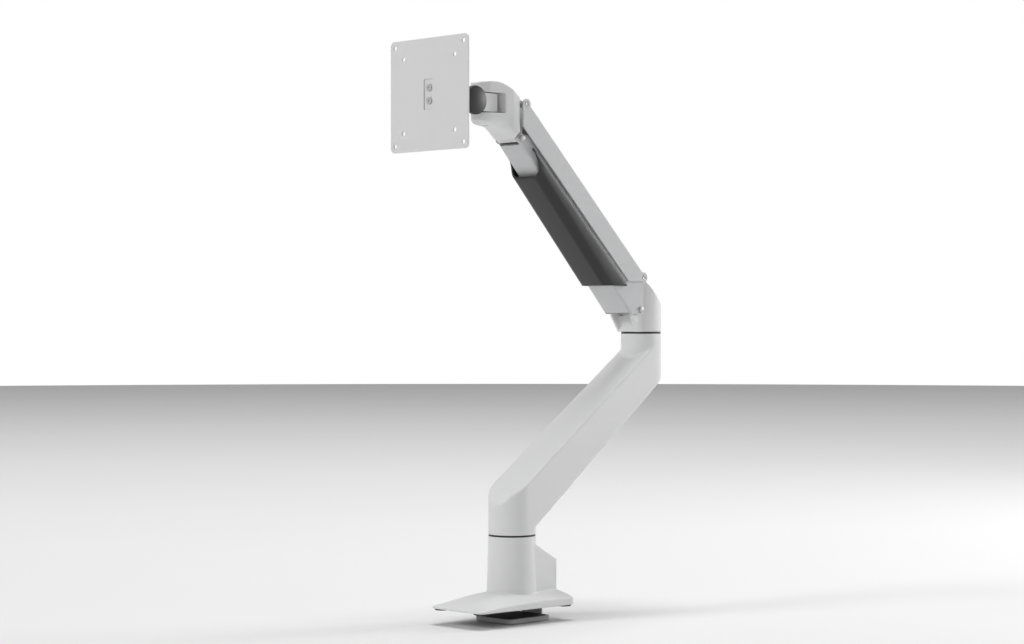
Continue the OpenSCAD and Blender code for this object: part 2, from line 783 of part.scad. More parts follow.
tongue_w = channel_head_w - 2 * plate_t - 2 * side_gap - 0.6;
fork_wall_y = pan_y + 13.8;
pan_bolt_top = head_low[1] + 50;

// the anchor block's guide and its tension screw
guide_w = 18;
tension_d = 5;
yoke_front = anchor[0] - 20;
tension_y = anchor[0] - 16.4;
tension_seat = head_low[1] + 41;

// the head seen from the side: arched on top, hollowed below
module head_profile() {
  z0 = head_low[1];
  arc_x = head_low[0] - 4.9;
  polygon(concat([[pan_y - fork_r - 2, z0 + 52], [pan_y - fork_r + 3, z0 + 55.6], [pan_y, z0 + 56.2]],
                 [for (t = [0:0.125:1]) [pan_y + 5 + t * (arc_x - pan_y - 5), z0 + 56 - 17.5 * pow(t, 1.7)]],
                 [[arc_x, z0 - 4.6]],
                 [for (t = [0:0.125:1]) [arc_x - t * (arc_x - pan_y - 5.5), z0 - 4.6 + 15.6 * (1 - pow(1 - t, 1.8))]],
                 [[pan_y - fork_r + 4, z0 + 12.2], [pan_y - fork_r - 2, z0 + 17]]));
}

module head_outline() {
  hull() {
    translate([0, pan_y]) circle(fork_r, $fn = 48);
    for (s = [-1, 1]) translate([s * (head_w / 2 - 3), pan_y + 24]) circle(3, $fn = 32);
    translate([-head_w / 2, head_low[0] - 8]) square([head_w, 8]);
  }
}

module head_knuckle() {
  z0 = head_low[1];
  back = head_low[0] + 6;
  slot_z = tilt_z - slot_h / 2;
  color(white) difference() {
    union() {
      intersection() {
        along_x(wide) head_profile();
        translate([0, 0, z0 - 20]) linear_extrude(100) head_outline();
      }
      // tongue between the channel's plates, with the cheeks of the upper pivot
      along_x(tongue_w) polygon([[head_low[0] - 8, z0 - 4.3], head_low + [3, -3.4], head_low + [4.6, -0.6],
                                 head_low + [4.6, 10], [back + 3, anchor[1] + 4], head_top + [5, 2],
                                 head_top + [1, 4.6], [head_low[0] - 8, head_top[1] + 5.6]]);
    }
    // slot of the pan block, open in front and at both sides
    translate([-wide / 2, fork_wall_y - wide, slot_z]) cube([wide, wide, slot_h]);
    // bore of the pan bolt, with room for its head
    translate([0, pan_y, z0 - 10]) cylinder(d = pan_bolt_d, h = 80);
    translate([0, pan_y, pan_bolt_top]) cylinder(d = pan_bolt_d + 6, h = 20);
    // cleft of the gas spring's eye
    translate([-6, anchor[0] - 12.6, z0 + 6]) cube([12, 60, 25.4]);
    // guide of the anchor block, and the tension screw's bore
    translate([-guide_w / 2, yoke_front - side_gap, z0 + 9.6]) cube([guide_w, 60, 18.6]);
    translate([0, tension_y, z0 + 20]) cylinder(d = tension_d + 2 * run_gap, h = 40);
    translate([0, tension_y, tension_seat]) cylinder(d = 2 * tension_d - 1, h = 20);
    // room for the ears of the top link and of the channel
    for (s = [-1, 1]) {
      bar_x_at(2 * ear_r + 3, 10, head_top, s * (link_w / 2 - 0.7));
      bar_x_at(16, 10, head_low, s * (tongue_w / 2 + 5.25));
    }
    bar_x(pin_d, wide, head_low);
    bar_x(pin_d, wide, head_top);
  }
}

module head_low_pin() {
  color(steel) pivot_pin(head_low, channel_head_w, 6.8, 1.6);
}

module head_top_pin() {
  color(steel) bar_x(pin_d, link_w - 0.8, head_top);
}

// yoke that carries the spring's anchor and rides on the tension screw
module anchor_block() {
  arm_t = 2.4;
  w = guide_w - 0.8;
  nut_l = 7.2;
  color(steel) difference() {
    union() {
      bar_x(gas_pin_d, w - 1, anchor);
      for (s = [-1, 1]) along_x(arm_t, s * (w - arm_t) / 2)
        polygon([anchor + [-20, -5], anchor + [4, -5], anchor + [4, 5], anchor + [-20, 5]]);
      translate([1 - w / 2, yoke_front, anchor[1] - 5]) cube([w - 2, nut_l, 10]);
    }
    translate([0, tension_y, 0]) cylinder(d = tension_d, h = wide * 2);
  }
}

module tension_screw() {
  length = tension_seat - anchor[1] + 7;
  color(steel) translate([0, tension_y, tension_seat]) screw(tension_d, length, 2 * tension_d - 1.8, 4, 3);
}

// ---- pan and tilt ----

module pan_block() {
  block_z = tilt_z - slot_h / 2 + washer_h;
  block_h = slot_h - 2 * washer_h;
  eye_r = axle_d / 2 + 4.5;
  color(white) difference() {
    union() {
      intersection() {
        translate([-pan_w / 2, tilt_y, block_z]) cube([pan_w, wide, block_h]);
        translate([0, pan_y, block_z]) cylinder(r = 13.3, h = block_h);
      }
      translate([-pan_w / 2, tilt_y, block_z]) cube([pan_w, pan_y - tilt_y, block_h]);
      bar_x(block_h, pan_w, [tilt_y, tilt_z]);
    }
    translate([0, pan_y, 0]) cylinder(d = pan_bolt_d + 2 * run_gap, h = tilt_z + 60);
    bar_x(axle_d + 2 * run_gap, wide, [tilt_y, tilt_z]);
  }
}

washer_h = 0.8;

module pan_washers() {
  color(black) for (z = [tilt_z - slot_h / 2, tilt_z + slot_h / 2 - washer_h])
    translate([0, pan_y, z]) difference() {
    cylinder(d = 19, h = washer_h);
    translate([0, 0, -eps]) cylinder(d = pan_bolt_d + 2 * run_gap, h = 2);
  }
}

module pan_bolt() {
  bottom = head_low[1] + 14;
  color(steel) translate([0, pan_y, 0]) difference() {
    union() {
      translate([0, 0, bottom]) cylinder(d = pan_bolt_d, h = pan_bolt_top - bottom + 1);
      translate([0, 0, pan_bolt_top]) cylinder(d = pan_bolt_d + 5, h = 4.4);
    }
    translate([0, 0, pan_bolt_top + 1.4]) hex_nut(pan_bolt_d * 0.6, 6);
  }
}

cheek_x = pan_w / 2 + washer_h;
bracket_back = plate_front + plate_thick + 4;

module tilt_bracket() {
  color(white) difference() {
    union() {
      // cheeks, tapering from the front wall to the axle
      for (s = [-1, 1]) along_x(bracket_t, s * (cheek_x + bracket_t / 2)) bracket_cheek();
      // front wall
      translate([-cheek_x - bracket_t, bracket_back, tilt_z - 23])
        cube([2 * (cheek_x + bracket_t), bracket_t, 44]);
    }
    bar_x(axle_d + 2 * run_gap, wide, [tilt_y, tilt_z]);
    translate([0, bracket_back - 1, plate_z]) rotate([-90, 0, 0])
      cylinder(d = spindle_d + 2 * run_gap, h = 20);
  }
}

module bracket_cheek() {
  r = 11;
  translate([tilt_y, tilt_z]) circle(r);
  polygon([[bracket_back, tilt_z - 23], [bracket_back + 14, tilt_z - 19.5], [tilt_y, tilt_z - r],
           [tilt_y, tilt_z + r], [bracket_back + 16, tilt_z + 19], [bracket_back, tilt_z + 21]]);
}

module tilt_axle() {
  left = cheek_x + bracket_t + 9;
  right = cheek_x + bracket_t + 5.5;
  color(steel) translate([-left, tilt_y, tilt_z]) rotate([0, 90, 0]) cylinder(d = axle_d, h = left + right);
}

module axle_nut() {
  color(steel) translate([-cheek_x - bracket_t - washer_h, tilt_y, tilt_z]) rotate([0, -90, 0]) difference() {
    hex_nut(13, 6.5);
    translate([0, 0, -1]) cylinder(d = axle_d, h = 10);
  }
}

module tilt_washers() {
  color(black) for (x = [-cheek_x - bracket_t - washer_h, -cheek_x, pan_w / 2])
    translate([x, tilt_y, tilt_z]) rotate([0, 90, 0]) difference() {
      cylinder(d = 17, h = washer_h - 0.05);
      translate([0, 0, -1]) cylinder(d = axle_d + 2 * run_gap, h = 4);
    }
}

module tilt_knob() {
  x0 = cheek_x + bracket_t + 0.3;
  r = knob_d / 2;
  dome = 1.8;
  color(black) translate([x0, tilt_y, tilt_z]) rotate([0, 90, 0]) difference() {
    rotate_extrude() polygon([[0, 0], [r - 1.4, 0], [r, 1.4], [r, knob_t - 2.6], [r - 0.7, knob_t - 1.4],
                              for (a = [0:0.25:1]) [(r - 2) * (1 - a), knob_t - dome + dome * (1 - pow(1 - a, 2))]]);
    translate([0, 0, -1]) cylinder(d = axle_d + 2 * run_gap, h = 6.4);
  }
}

// ---- monitor plate ----

module square_pattern(side) {
  for (sx = [-1, 1], sz = [-1, 1]) translate([sx * side / 2, sz * side / 2, 0]) children();
}

// the plate's own directions: z' points forward, out of the plate's front face
module on_plate(depth = 0) {
  translate([0, plate_front + depth, plate_z]) rotate([90, 0, 0]) children();
}

recess_w = 14.5;
recess_h = 31;
recess_deep = 1.2;

module monitor_plate() {
  color(grey) difference() {
    on_plate(plate_thick) rounded_box([plate_side, plate_side, plate_thick], plate_corner_r);
    on_plate(plate_thick) {
      square_pattern(vesa_large) translate([0, 0, -1]) cylinder(d = vesa_hole_d, h = 10);
      square_pattern(vesa_small) translate([0, 0, -1]) cylinder(d = vesa_hole_d, h = 10);
      translate([0, 0, plate_thick - recess_deep]) rounded_box([recess_w, recess_h, 5], 1.5);
      for (s = [-1, 1]) translate([0, s * centre_pitch / 2, -1]) cylinder(d = 4.1, h = 10);
    }
  }
}

module plate_screws() {
  color(steel) on_plate(recess_deep) for (s = [-1, 1]) translate([0, s * centre_pitch / 2, 0])
    screw(4, 5, 7.4, 1.1, 2.5);
}

module plate_spindle() {
  flange_y = plate_front + plate_thick;
  color(steel) difference() {
    union() {
      on_plate(plate_thick + 4 - 0.1) cylinder(d = 34, h = 3.9);
      on_plate(plate_thick + 18) cylinder(d = spindle_d, h = 15);
    }
    on_plate(recess_deep + 5) for (s = [-1, 1])
      translate([0, s * centre_pitch / 2, 0]) cylinder(d = 4, h = 20);
  }
}

module spindle_nut() {
  color(steel) on_plate(plate_thick + 4 + bracket_t + 5.2) difference() {
    hex_nut(18.5, 5);
    translate([0, 0, -1]) cylinder(d = spindle_d, h = 8);
  }
}

base_casting();
foot_pads();
grip_pad();
base_post();
base_washer();
clamp_jaw();
jaw_pad();
jaw_nut();
clamp_screw();
lower_arm();
arm_tray();
base_bush();
base_grub_screw();
elbow_post();
elbow_washer();
elbow_knuckle();
elbow_bush();
elbow_grub_screw();
elbow_low_pin();
elbow_top_pin();
channel();
cable_cover();
spring_pin();
top_link();
gas_cylinder();
gas_rod();
head_knuckle();
head_low_pin();
head_top_pin();
anchor_block();
tension_screw();
pan_block();
pan_bolt();
pan_washers();
tilt_bracket();
tilt_axle();
axle_nut();
tilt_washers();
tilt_knob();
plate_spindle();
spindle_nut();
monitor_plate();
plate_screws();
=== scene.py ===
import json
import math
import bpy
import bmesh
from mathutils import Matrix, Vector

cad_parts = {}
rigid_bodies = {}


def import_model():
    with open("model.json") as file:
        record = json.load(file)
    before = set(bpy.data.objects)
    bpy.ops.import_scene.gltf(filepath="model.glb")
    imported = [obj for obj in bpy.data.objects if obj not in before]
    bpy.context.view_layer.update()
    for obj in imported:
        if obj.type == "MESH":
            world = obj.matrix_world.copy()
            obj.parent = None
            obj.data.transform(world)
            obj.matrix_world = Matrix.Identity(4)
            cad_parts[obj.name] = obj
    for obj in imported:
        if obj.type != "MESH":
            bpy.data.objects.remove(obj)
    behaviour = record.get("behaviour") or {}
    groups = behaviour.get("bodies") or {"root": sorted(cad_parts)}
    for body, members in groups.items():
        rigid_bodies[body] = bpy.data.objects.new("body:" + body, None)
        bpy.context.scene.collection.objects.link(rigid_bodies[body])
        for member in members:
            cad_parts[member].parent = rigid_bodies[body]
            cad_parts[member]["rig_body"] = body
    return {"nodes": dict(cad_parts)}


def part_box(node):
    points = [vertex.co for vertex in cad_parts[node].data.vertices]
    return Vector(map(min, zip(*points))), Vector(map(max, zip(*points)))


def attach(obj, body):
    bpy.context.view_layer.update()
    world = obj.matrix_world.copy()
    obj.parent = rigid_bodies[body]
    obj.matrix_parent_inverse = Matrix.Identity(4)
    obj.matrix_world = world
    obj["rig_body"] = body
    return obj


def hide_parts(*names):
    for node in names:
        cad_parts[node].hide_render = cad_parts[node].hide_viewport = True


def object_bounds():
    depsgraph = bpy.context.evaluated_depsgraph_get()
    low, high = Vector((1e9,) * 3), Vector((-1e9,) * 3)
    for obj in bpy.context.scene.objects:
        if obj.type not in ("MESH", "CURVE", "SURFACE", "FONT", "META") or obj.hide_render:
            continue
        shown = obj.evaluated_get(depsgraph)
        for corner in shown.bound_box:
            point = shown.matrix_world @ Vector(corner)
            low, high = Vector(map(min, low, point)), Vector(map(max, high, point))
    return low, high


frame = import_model()
cadBox = [list(corner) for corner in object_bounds()]
print("frame loaded")

# meshes are worked out in millimetres and brought to metres when a piece is finished
mm = 0.001


def corners(node):
    # a node's box in millimetres
    lo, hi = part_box(node)
    return lo / mm, hi / mm


def middle(node):
    lo, hi = corners(node)
    return (lo + hi) / 2


elbowLow = middle("elbow_low_pin")
elbowTop = middle("elbow_top_pin")
headLow = middle("head_low_pin")
headTop = middle("head_top_pin")
axle = middle("tilt_axle")
panAxis = middle("pan_bolt")
swivelRadius = corners("lower_arm")[1].x
elbowRadius = corners("elbow_knuckle")[1].x
elbowAxisY = middle("elbow_post").y
armFoot = corners("lower_arm")[0].z
armTop = corners("lower_arm")[1].z
rise = elbowLow - headLow
slope = math.atan2(-rise.z, rise.y)  # of the upper arm
linkLen = math.hypot(rise.y, rise.z)


def along(start, q, n, x=0.0):
    # q runs down the upper arm from start, n is square to it
    return Vector((x, start.y + q * math.cos(slope) + n * math.sin(slope),
                   start.z - q * math.sin(slope) + n * math.cos(slope)))


cameraSet = {"azimuth": 45, "height": 0.2944, "distance": 2.3535, "lens": 79.8, "sensor": 36, "farEnd": 20}


def makeCamera():
    s = cameraSet
    data = bpy.data.cameras.new("camera")
    data.lens, data.sensor_width, data.clip_end = s["lens"], s["sensor"], s["farEnd"]
    camera = bpy.data.objects.new("camera", data)
    a = math.radians(s["azimuth"])
    camera.location = (math.sin(a) * s["distance"], -math.cos(a) * s["distance"], s["height"])
    camera.rotation_euler = (math.pi / 2, 0, a)
    bpy.context.scene.collection.objects.link(camera)
    bpy.context.scene.camera = camera


worldSet = {"stops": ((0.15, 1.0), (0.3, 0.3)), "strength": 1.0}  # white near the horizon, dimmer overhead
lampAim = Vector((0, 0.06, 0.3))
lampSet = {
    "key": {"at": (-3.2, -6.8, 5.2), "size": 3.0, "power": 260},
    "strip": {"at": (0.8, 2.3, 0.9), "size": 0.7, "power": 22},
    "top": {"at": (0.0, 1.0, 7.0), "size": 4.0, "power": 330},
}


def makeLamps():
    for name, lamp in lampSet.items():
        data = bpy.data.lights.new(name, "AREA")
        data.shape = "DISK"
        data.size = lamp["size"]
        data.energy = lamp["power"]
        light = bpy.data.objects.new(name, data)
        light.location = lamp["at"]
        light.rotation_euler = (lampAim - light.location).to_track_quat("-Z", "Y").to_euler()
        bpy.context.scene.collection.objects.link(light)


def makeWorld():
    world = bpy.data.worlds.new("studio")
    world.use_nodes = True
    tree = world.node_tree
    place = tree.nodes.new("ShaderNodeTexCoord")
    split = tree.nodes.new("ShaderNodeSeparateXYZ")
    ramp = tree.nodes.new("ShaderNodeValToRGB")
    tree.links.new(place.outputs["Generated"], split.inputs[0])
    tree.links.new(split.outputs["Z"], ramp.inputs[0])
    tree.links.new(ramp.outputs["Color"], tree.nodes["Background"].inputs["Color"])
    for element, (spot, level) in zip(ramp.color_ramp.elements, worldSet["stops"]):
        element.position, element.color = spot, (level, level, level, 1)
    tree.nodes["Background"].inputs["Strength"].default_value = worldSet["strength"]
    bpy.context.scene.world = world
    bpy.context.scene.view_settings.view_transform = "Standard"


floorSet = {"radius": 9, "below": 0.0005}


def makeFloor():
    bm = bmesh.new()
    bmesh.ops.create_circle(bm, cap_ends=True, segments=96, radius=floorSet["radius"])
    bmesh.ops.translate(bm, verts=bm.verts, vec=(0, 0, cadBox[0][2] - floorSet["below"]))
    mesh = bpy.data.meshes.new("floor")
    bm.to_mesh(mesh)
    bm.free()
    floor = bpy.data.objects.new("floor", mesh)
    bpy.context.scene.collection.objects.link(floor)
    floor.data.materials.append(floorPaint())


class Value:
    # a socket that takes part in sums
    def __init__(self, shader, socket):
        self.shader, self.socket = shader, socket

    def calc(self, operation, a, b):
        return self.shader.add("Math", {"operation": operation}, {0: a, 1: b})

    def __add__(self, other): return self.calc("ADD", self, other)
    def __radd__(self, other): return self.calc("ADD", other, self)
    def __mul__(self, other): return self.calc("MULTIPLY", self, other)
    def __rmul__(self, other): return self.calc("MULTIPLY", other, self)


class Shader:
    def __init__(self, name):
        self.material = bpy.data.materials.new(name)
        self.material.use_nodes = True
        self.nodes = self.material.node_tree.nodes
        self.links = self.material.node_tree.links
        self.surface = self.nodes["Principled BSDF"]
        self.place = self.add("TexCoord", {}, {}, "Object")

    def put(self, node, sockets):
        for key, value in sockets.items():
            if isinstance(value, Value):
                self.links.new(value.socket, node.inputs[key])
            else:
                node.inputs[key].default_value = value

    def add(self, kind, settings, sockets, out=0):
        node = self.nodes.new("ShaderNode" + kind)
        for key, value in settings.items():
            setattr(node, key, value)
        self.put(node, sockets)
        return Value(self, node.outputs[out])

    def finish(self, sockets):
        self.put(self.surface, sockets)
        return self.material

    def noise(self, scale, detail=3.0, rough=0.55, place=None):
        return self.add("TexNoise", {}, {"Vector": place or self.place, "Scale": scale, "Detail": detail,
                                         "Roughness": rough})

    def stretched(self, scale):
        return self.add("Mapping", {}, {"Vector": self.place, "Scale": scale})

    def blend(self, factor, a, b):
        # sockets 6, 7 and 2 are the Mix node's colours
        return self.add("Mix", {"data_type": "RGBA"}, {0: factor, 6: (*a, 1), 7: (*b, 1)}, 2)

    def bump(self, height, strength, distance):
        return self.add("Bump", {}, {"Height": height, "Strength": strength, "Distance": distance})


def powderPaint(name, light, dark, rough=0.42, grain=1100, coat=0.12):
    # sprayed powder coat: fine orange peel over a faint mottling
    s = Shader(name)
    cloud = s.noise(14, 4)
    speck = s.noise(2600, 2, 0.6)
    peel = s.noise(grain, 2, 0.5)
    colour = s.blend(cloud * 0.75 + speck * 0.25, light, dark)
    normal = s.bump(peel + speck * 0.25, 0.16, 0.00012)
    return s.finish({"Base Color": colour, "Roughness": rough - 0.05 + cloud * 0.1, "Normal": normal,
                     "Coat Weight": coat, "Coat Roughness": 0.3})


def mouldedPlastic(name, light, dark, rough=0.4, grain=1700, depth=0.12):
    # spark-eroded black plastic, a little duller where it has been handled
    s = Shader(name)
    cloud = s.noise(30, 4)
    grainy = s.noise(grain, 3, 0.6)
    colour = s.blend(cloud * 0.7 + grainy * 0.3, light, dark)
    normal = s.bump(grainy, depth, 0.0001)
    return s.finish({"Base Color": colour, "Roughness": rough - 0.07 + cloud * 0.14, "Normal": normal})


def softRubber(name):
    s = Shader(name)
    dust = s.noise(60, 5)
    pit = s.add("TexVoronoi", {}, {"Vector": s.place, "Scale": 900.0}, 0)
    colour = s.blend(dust, (0.012, 0.012, 0.013), (0.045, 0.044, 0.043))
    return s.finish({"Base Color": colour, "Roughness": 0.78 + dust * 0.14, "Normal": s.bump(pit, 0.2, 0.0002)})


def turnedSteel(name, light, dark, rough, scale):
    # turned or ground metal: fine lines along one direction
    s = Shader(name)
    lines = s.noise(1.0, 4, 0.6, s.stretched(scale))
    cloud = s.noise(55, 3)
    colour = s.blend(lines * 0.7 + cloud * 0.3, light, dark)
    return s.finish({"Base Color": colour, "Metallic": 1.0, "Roughness": rough + lines * 0.14,
                     "Normal": s.bump(lines, 0.12, 0.0001)})


def floorPaint():
    s = Shader("floor")
    cloud = s.noise(1.2, 3)
    return s.finish({"Base Color": s.blend(cloud, (0.70, 0.70, 0.70), (0.73, 0.73, 0.73)),
                     "Roughness": 0.75 + cloud * 0.1})


def makeMaterials():
    return {
        "whitePaint": powderPaint("whitePaint", (0.685, 0.686, 0.69), (0.65, 0.651, 0.656)),
        "greyPaint": powderPaint("greyPaint", (0.52, 0.523, 0.53), (0.49, 0.493, 0.50), 0.4),
        "platePaint": powderPaint("platePaint", (0.66, 0.66, 0.662), (0.63, 0.63, 0.632), 0.46, 900),
        "jawPaint": powderPaint("jawPaint", (0.30, 0.30, 0.304), (0.27, 0.27, 0.274), 0.45),
        "coverPlastic": mouldedPlastic("coverPlastic", (0.012, 0.012, 0.013), (0.008, 0.008, 0.0085), 0.32),
        "knobPlastic": mouldedPlastic("knobPlastic", (0.016, 0.016, 0.017), (0.010, 0.010, 0.0105), 0.5),
        "washerPlastic": mouldedPlastic("washerPlastic", (0.016, 0.016, 0.016), (0.010, 0.010, 0.010), 0.46),
        "padRubber": softRubber("padRubber"),
        "steel": turnedSteel("steel", (0.58, 0.58, 0.57), (0.46, 0.46, 0.455), 0.26, (300, 300, 2200)),
        "pinSteel": turnedSteel("pinSteel", (0.50, 0.50, 0.50), (0.42, 0.42, 0.418), 0.42, (2400, 300, 300)),
        "springBlack": mouldedPlastic("springBlack", (0.018, 0.018, 0.019), (0.012, 0.012, 0.012), 0.24, 900,
                                      0.05),
    }


def finishPiece(bm, name, body, finish, *nodes, sharp=32, outward=True, flat=True):
    if outward:
        bmesh.ops.recalc_face_normals(bm, faces=bm.faces)
    bmesh.ops.scale(bm, vec=(mm, mm, mm), verts=bm.verts)
    mesh = bpy.data.meshes.new(name)
    bm.to_mesh(mesh)
    bm.free()
    mesh.shade_smooth()
    mesh.set_sharp_from_angle(angle=math.radians(sharp))
    piece = bpy.data.objects.new(name, mesh)
    bpy.context.scene.collection.objects.link(piece)
    mesh.materials.append(materials[finish])
    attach(piece, body)
    if nodes:
        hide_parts(*nodes)
    if flat:
        even = piece.modifiers.new("evenNormals", "WEIGHTED_NORMAL")
        even.keep_sharp = True
        even.weight = 100
    return piece


def nodeCopy(node):
    # the node's own shape, merged and freed of the edges inside its flat faces
    bm = bmesh.new()
    bm.from_mesh(frame["nodes"][node].data)
    bmesh.ops.scale(bm, vec=(1 / mm, 1 / mm, 1 / mm), verts=bm.verts)
    bmesh.ops.remove_doubles(bm, verts=bm.verts, dist=0.0005)
    bmesh.ops.dissolve_limit(bm, angle_limit=math.radians(0.6), verts=bm.verts, edges=bm.edges)
    return bm


def softenEdges(bm, width, segments=2, angle=28, pick=None):
    edges = [e for e in bm.edges if len(e.link_faces) == 2 and e.calc_face_angle(0) > math.radians(angle)
             and (pick is None or pick(e))]
    bmesh.ops.bevel(bm, geom=edges, offset=width, offset_type="OFFSET", affect="EDGES", segments=segments,
                    profile=0.5, material=-1, clamp_overlap=True)


def cut(bm, point, normal):
    # keeps what lies behind the plane, and closes the cut
    done = bmesh.ops.bisect_plane(bm, geom=bm.verts[:] + bm.edges[:] + bm.faces[:], plane_co=point,
                                  plane_no=normal, clear_outer=True, dist=0.0001)
    edges = [e for e in done["geom_cut"] if isinstance(e, bmesh.types.BMEdge) and e.is_boundary]
    bmesh.ops.holes_fill(bm, edges=edges, sides=0)


def prism(outline, x0, x1):
    # an outline in y and z, made solid from x0 to x1
    bm = bmesh.new()
    face = bm.faces.new([bm.verts.new((x0, y, z)) for y, z in outline])
    side = bmesh.ops.extrude_face_region(bm, geom=[face])
    verts = [v for v in side["geom"] if isinstance(v, bmesh.types.BMVert)]
    bmesh.ops.translate(bm, verts=verts, vec=(x1 - x0, 0, 0))
    bmesh.ops.recalc_face_normals(bm, faces=bm.faces)
    return bm


def block(x0, x1, y0, y1, z0, z1):
    return prism([(y0, z0), (y1, z0), (y1, z1), (y0, z1)], x0, x1)


def post(radius0, radius1, z0, z1, x=0.0, y=0.0, steps=96):
    bm = bmesh.new()
    bmesh.ops.create_cone(bm, cap_ends=True, segments=steps, radius1=radius0, radius2=radius1, depth=z1 - z0)
    bmesh.ops.translate(bm, verts=bm.verts, vec=(x, y, (z0 + z1) / 2))
    return bm


def turned(profile, steps=64):
    # a profile of (radius, height) pairs, turned about Z
    bm = bmesh.new()
    verts = [bm.verts.new((r, 0, h)) for r, h in profile]
    edges = [bm.edges.new(pair) for pair in zip(verts, verts[1:])]
    bmesh.ops.spin(bm, geom=verts + edges, cent=(0, 0, 0), axis=(0, 0, 1), angle=math.tau, steps=steps,
                   use_merge=True)
    bmesh.ops.remove_doubles(bm, verts=bm.verts, dist=0.0005)
    bmesh.ops.recalc_face_normals(bm, faces=bm.faces)
    return bm


def placed(bm, at, towards=(0, 0, 1)):
    # brings a shape made along Z to a place and a direction
    turn = Vector((0, 0, 1)).rotation_difference(Vector(towards)).to_matrix().to_4x4()
    bmesh.ops.transform(bm, matrix=Matrix.Translation(at) @ turn, verts=bm.verts)
    return bm


def join(*parts):
    whole = bmesh.new()
    for bm in parts:
        mesh = bpy.data.meshes.new("part")
        bm.to_mesh(mesh)
        bm.free()
        whole.from_mesh(mesh)
        bpy.data.meshes.remove(mesh)
    return whole


def asMesh(bm, modifiers):
    # the shape after a stack of modifiers
    mesh = bpy.data.meshes.new("work")
    bm.to_mesh(mesh)
    bm.free()
    work = bpy.data.objects.new("work", mesh)
    bpy.context.scene.collection.objects.link(work)
    for kind, settings in modifiers:
        modifier = work.modifiers.new(kind, kind)
        for key, value in settings.items():
            setattr(modifier, key, value)
    done = work.evaluated_get(bpy.context.evaluated_depsgraph_get()).to_mesh()
    out = bmesh.new()
    out.from_mesh(done)
    bpy.data.objects.remove(work)
    bpy.data.meshes.remove(mesh)
    return out


def cast(bm, voxel, rounds, keep):
    # joins overlapping solids into one casting and melts its edges
    solid = asMesh(bm, [("REMESH", {"mode": "VOXEL", "voxel_size": voxel})])
    for _ in range(rounds):
        bmesh.ops.smooth_vert(solid, verts=solid.verts, factor=0.5, use_axis_x=True, use_axis_y=True,
                              use_axis_z=True)
    return asMesh(solid, [("DECIMATE", {"ratio": keep})])


def combine(bm, operation, tool):
    mesh = bpy.data.meshes.new("tool")
    tool.to_mesh(mesh)
    tool.free()
    knife = bpy.data.objects.new("tool", mesh)
    bpy.context.scene.collection.objects.link(knife)
    bm = asMesh(bm, [("BOOLEAN", {"operation": operation, "solver": "EXACT", "object": knife})])
    bpy.data.objects.remove(knife)
    bpy.data.meshes.remove(mesh)
    return bm


def booleanCut(bm, *tools):
    # takes the tools' solids out of the shape
    for tool in tools:
        bm = combine(bm, "DIFFERENCE", tool)
    return bm


def trough(stations, section, wall):
    # a long U along the upper arm, made from its outer and inner half sections at each station
    bm = bmesh.new()
    rings = []
    for q in stations:
        outer, inner = section(q, 0), section(q, wall)
        loop = outer + [(-x, n) for x, n in reversed(outer)] + [(-x, n) for x, n in inner]
        loop += list(reversed(inner))
        rings.append([bm.verts.new(along(elbowLow, q, n, x)) for x, n in loop])
    for a, b in zip(rings, rings[1:]):
        for i in range(len(a)):
            j = (i + 1) % len(a)
            bm.faces.new((a[i], a[j], b[j], b[i]))
    bm.faces.new(rings[0])
    bm.faces.new(rings[-1])
    bmesh.ops.recalc_face_normals(bm, faces=bm.faces)
    return bm


baseSet = {"frontHalf": 37.0, "lip": 2.3, "wall": 7.8, "crown": 16.2, "corner": 5.0, "under": 1.2, "climb": 62,
           "columnFoot": 26.5, "finHalf": 21, "finRoot": 24.0, "finBack": 46, "finHigh": 46.8, "finSlope": 0.541,
           "over": 6, "voxel": 0.75, "rounds": 4, "keep": 0.45}
pocketSet = {"legHalf": 14.4, "legFront": 27.6, "legBack": 31.4, "legTop": 41, "wellHalf": 9, "wellFront": 31,
             "wellBack": 44, "wellTop": 33, "hole": 4.1, "mouth": 6.6, "seat": 40}
baseRingSet = [(12.2, -0.1), (24.1, -0.1), (24.3, 0.1), (24.3, 1.9), (24.1, 2.1), (12.2, 2.1), (12.2, -0.1)]


def basePad():
    # a thin front lip that climbs and crowns towards the column
    s = baseSet
    lo, hi = corners("base_casting")
    length = hi.y - lo.y
    r = s["corner"]
    bm = bmesh.new()
    bmesh.ops.create_grid(bm, x_segments=56, y_segments=84, size=1)
    for v in bm.verts:
        u = v.co.x
        t = (v.co.y + 1) / 2
        y = lo.y + length * t
        half = s["frontHalf"] + (hi.x - s["frontHalf"]) * t
        near = min(y - lo.y, hi.y - y)
        if near < r:
            half -= r - math.sqrt(max(r * r - (r - near) ** 2, 0))
        edge = s["under"] + s["lip"] + (s["wall"] - s["lip"]) * (1 - (1 - t) ** 2.6)
        climb = min((y - lo.y) / s["climb"], 1)
        crest = edge + (s["crown"] - edge) * (1 - (1 - climb) ** 1.5)
        v.co = (u * half, y, edge + (crest - edge) * (1 - abs(u) ** 2.3))
    lower = bmesh.ops.extrude_face_region(bm, geom=bm.faces[:])
    for v in lower["geom"]:
        if isinstance(v, bmesh.types.BMVert):
            v.co.z = s["under"]
    bmesh.ops.recalc_face_normals(bm, faces=bm.faces)
    return bm


